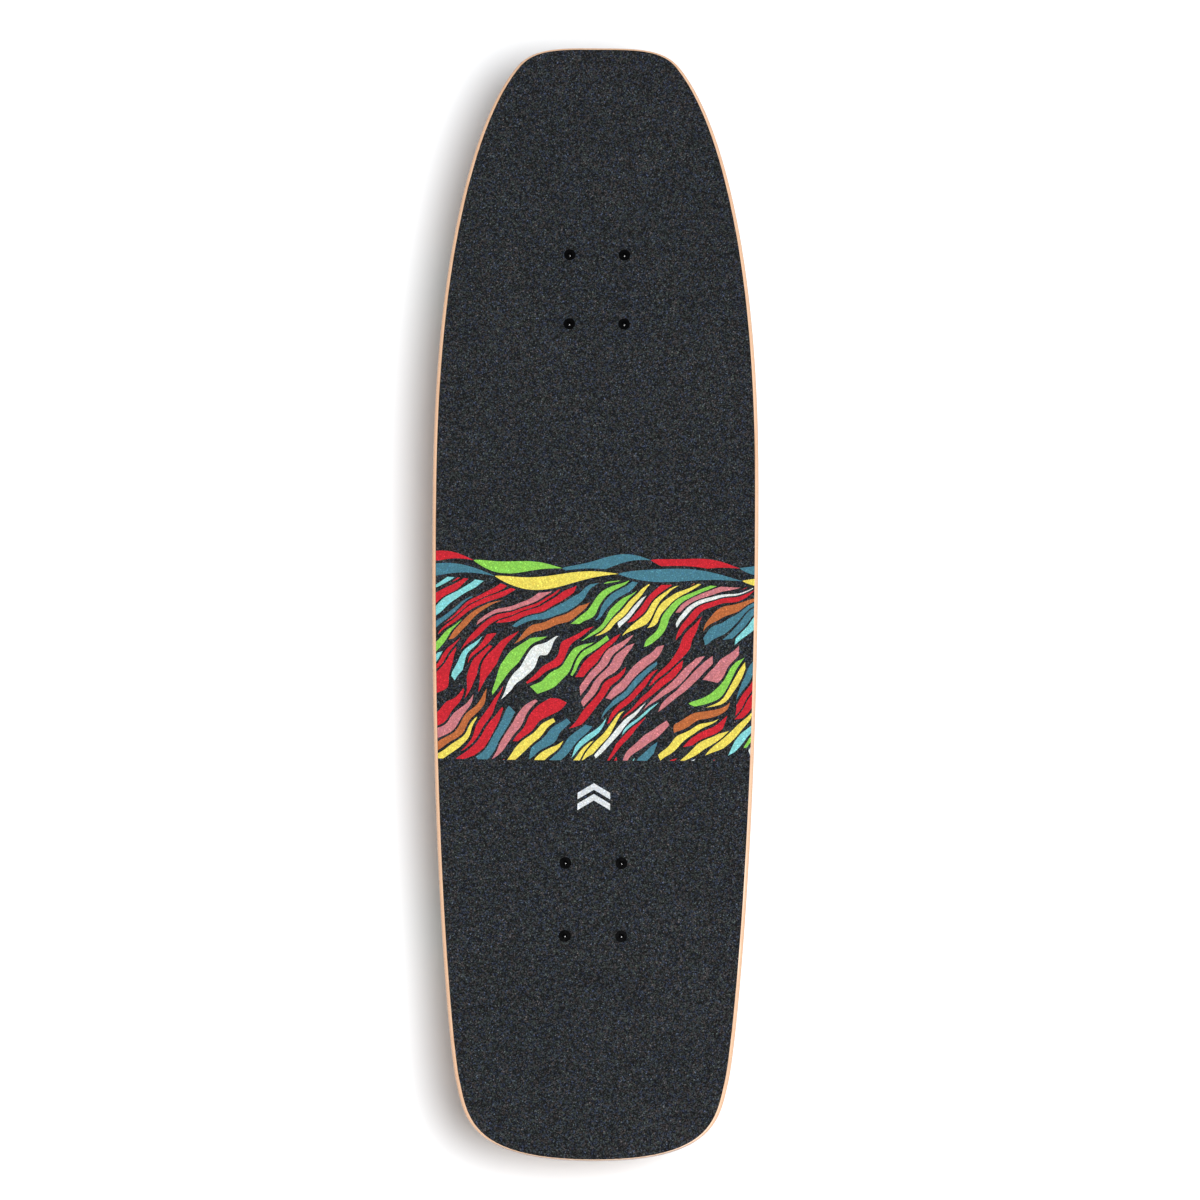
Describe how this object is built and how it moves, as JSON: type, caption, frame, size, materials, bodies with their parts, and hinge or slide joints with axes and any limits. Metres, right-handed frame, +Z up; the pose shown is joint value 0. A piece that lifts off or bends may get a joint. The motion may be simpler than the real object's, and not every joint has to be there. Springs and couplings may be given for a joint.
{
  "type": "surf skateboard",
  "caption": "Ride-on wooden board with a grit top sheet, kicked tail, a swing-arm steering truck at the nose, a fixed truck at the tail and soft urethane wheels.",
  "frame": {"origin": "on the ground, midway along and across the part", "axes": "+X to the rider's right when facing the nose, +Y toward the nose along the length, +Z up"},
  "size_m": [0.2434, 0.844, 0.1367],
  "materials": {
    "maple": "satin lacquer",
    "grip": "coarse grit sheet",
    "riser_rubber": "matte",
    "black_steel": "black oxide, semi-gloss",
    "zinc_steel": "zinc plated",
    "cast_aluminium": "cast and polished",
    "urethane_wheel": "matte cast urethane",
    "urethane_bushing": "satin cast urethane",
    "bearing_steel": "ground",
    "black_plastic": "moulded"
  },
  "bodies": {
    "board": {"deck": "maple", "grip_tape": "grip", "rear_riser": "riser_rubber", "deck_screw_1": "black_steel", "deck_screw_2": "black_steel", "deck_screw_3": "black_steel", "deck_screw_4": "black_steel", "deck_screw_5": "black_steel", "deck_screw_6": "black_steel", "deck_screw_7": "black_steel", "deck_screw_8": "black_steel", "lock_nut_1": "zinc_steel", "lock_nut_2": "zinc_steel", "lock_nut_3": "zinc_steel", "lock_nut_4": "zinc_steel", "lock_nut_5": "zinc_steel", "lock_nut_6": "zinc_steel", "lock_nut_7": "zinc_steel", "lock_nut_8": "zinc_steel", "front_base_plate": "cast_aluminium", "front_swivel_bolt": "zinc_steel", "front_swivel_nut": "zinc_steel", "front_thrust_bearing": "bearing_steel", "front_return_spring": "black_steel", "rear_base_plate": "cast_aluminium", "rear_kingpin": "zinc_steel", "rear_kingpin_nut": "zinc_steel", "rear_top_bushing": "urethane_bushing", "rear_bottom_bushing": "urethane_bushing", "rear_top_washer": "zinc_steel", "rear_bottom_washer": "zinc_steel", "rear_pivot_cup": "black_plastic"},
    "front_arm": {"front_swing_arm": "cast_aluminium", "front_kingpin": "zinc_steel", "front_kingpin_nut": "zinc_steel", "front_top_bushing": "urethane_bushing", "front_bottom_bushing": "urethane_bushing", "front_top_washer": "zinc_steel", "front_bottom_washer": "zinc_steel", "front_pivot_cup": "black_plastic"},
    "front_left_wheel": {"wheel_front_left": "urethane_wheel", "bearing_front_left_inner": "bearing_steel", "bearing_front_left_outer": "bearing_steel"},
    "front_right_wheel": {"wheel_front_right": "urethane_wheel", "bearing_front_right_inner": "bearing_steel", "bearing_front_right_outer": "bearing_steel"},
    "front_hanger": {"front_hanger": "cast_aluminium", "front_axle": "zinc_steel", "axle_nut_front_left": "zinc_steel", "axle_nut_front_right": "zinc_steel"},
    "rear_left_wheel": {"wheel_rear_left": "urethane_wheel", "bearing_rear_left_inner": "bearing_steel", "bearing_rear_left_outer": "bearing_steel"},
    "rear_right_wheel": {"wheel_rear_right": "urethane_wheel", "bearing_rear_right_inner": "bearing_steel", "bearing_rear_right_outer": "bearing_steel"},
    "rear_hanger": {"rear_hanger": "cast_aluminium", "rear_axle": "zinc_steel", "axle_nut_rear_left": "zinc_steel", "axle_nut_rear_right": "zinc_steel"}
  },
  "joints": [
    {"name": "swing_arm_swivel", "type": "hinge", "parent": "board", "child": "front_arm", "pos_m": [0, 0.22, 0.095], "axis": [0, 0.1736, 0.9848], "range_deg": [-30, 30], "stiffness_Nm_per_rad": 18},
    {"name": "front_lean", "type": "hinge", "parent": "front_arm", "child": "front_hanger", "pos_m": [0, 0.246, 0.055], "axis": [0, 0.866, 0.5], "range_deg": [-12, 12], "stiffness_Nm_per_rad": 70, "deforming": ["front_top_bushing", "front_bottom_bushing"]},
    {"name": "rear_lean", "type": "hinge", "parent": "board", "child": "rear_hanger", "pos_m": [0, -0.214, 0.055], "axis": [0, -0.866, 0.5], "range_deg": [-12, 12], "stiffness_Nm_per_rad": 70, "deforming": ["rear_top_bushing", "rear_bottom_bushing"]},
    {"name": "front_left_wheel_spin", "type": "hinge", "parent": "front_hanger", "child": "front_left_wheel", "pos_m": [-0.0855, 0.265, 0.035], "axis": [1, 0, 0], "continuous": true},
    {"name": "front_right_wheel_spin", "type": "hinge", "parent": "front_hanger", "child": "front_right_wheel", "pos_m": [0.0855, 0.265, 0.035], "axis": [1, 0, 0], "continuous": true},
    {"name": "rear_left_wheel_spin", "type": "hinge", "parent": "rear_hanger", "child": "rear_left_wheel", "pos_m": [-0.0855, -0.233, 0.035], "axis": [1, 0, 0], "continuous": true},
    {"name": "rear_right_wheel_spin", "type": "hinge", "parent": "rear_hanger", "child": "rear_right_wheel", "pos_m": [0.0855, -0.233, 0.035], "axis": [1, 0, 0], "continuous": true}
  ]
}
